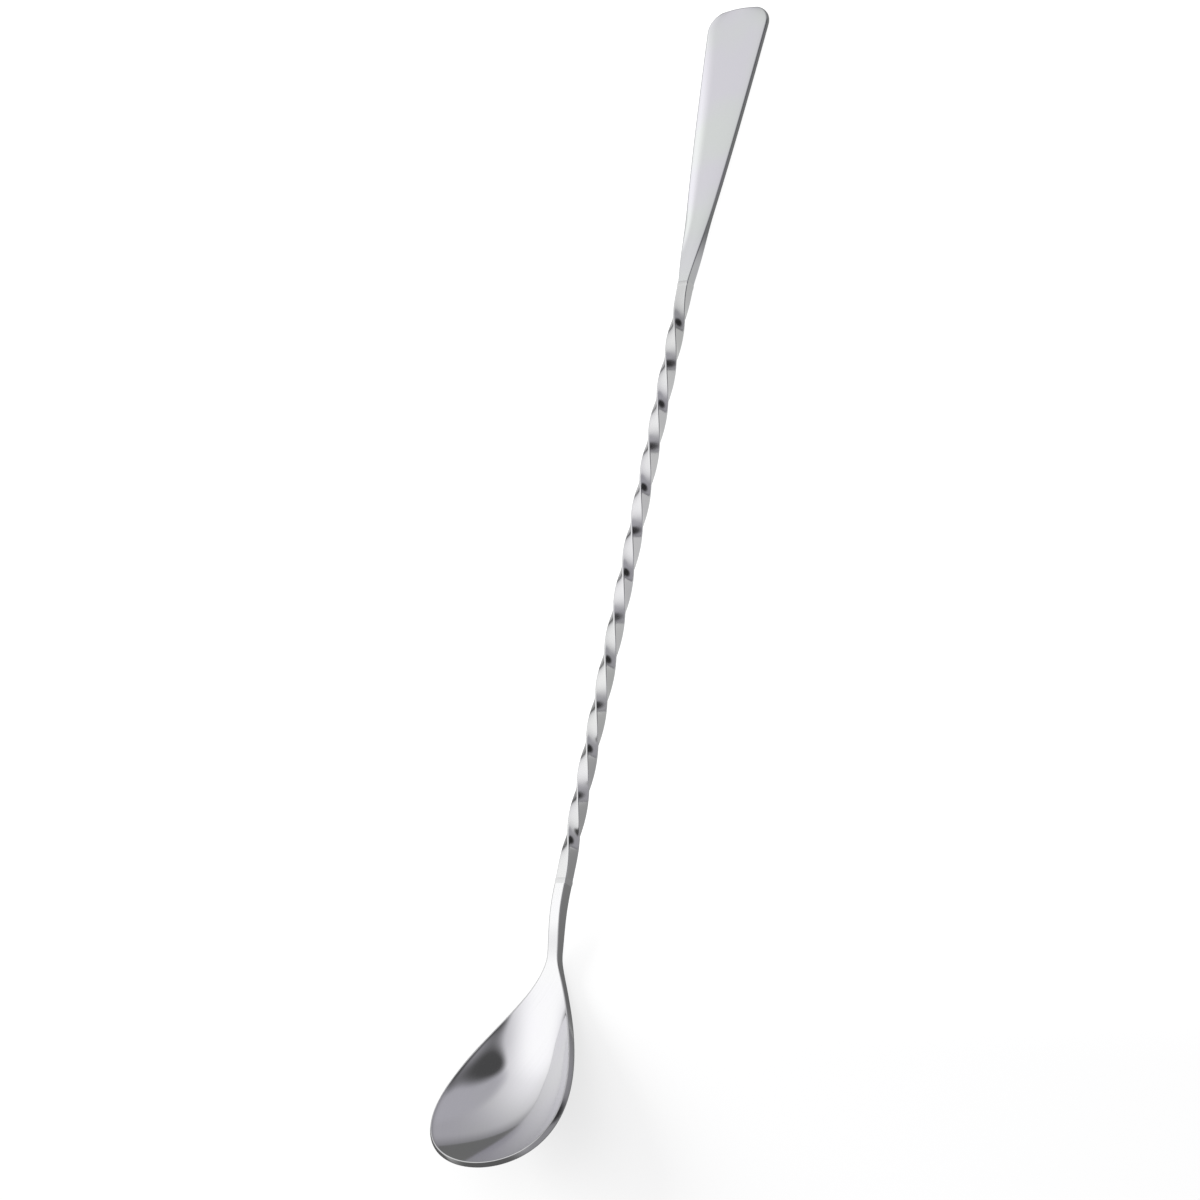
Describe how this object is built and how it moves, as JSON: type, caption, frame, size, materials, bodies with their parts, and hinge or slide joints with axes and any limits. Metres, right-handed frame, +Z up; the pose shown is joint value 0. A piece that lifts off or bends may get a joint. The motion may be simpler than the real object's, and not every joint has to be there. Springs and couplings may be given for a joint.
{
  "type": "iced tea spoon",
  "caption": "Long stainless steel iced tea spoon with a teardrop bowl, a twisted square stem and a flat flared handle.",
  "frame": {"origin": "middle of the spoon's length and width, on the surface that it lies on", "axes": "+X along the spoon towards the bowl's tip, +Y across the bowl, +Z up out of the bowl's hollow"},
  "size_m": [0.227, 0.0256, 0.0138],
  "materials": {
    "handle_steel": "polished stainless steel",
    "stem_steel": "polished stainless steel",
    "bowl_steel": "mirror polished stainless steel",
    "weld_steel": "dressed and polished weld"
  },
  "bodies": {
    "root": {"handle": "handle_steel", "handle_weld": "weld_steel", "twisted_stem": "stem_steel", "bowl_weld": "weld_steel", "spoon_bowl": "bowl_steel"}
  },
  "joints": []
}
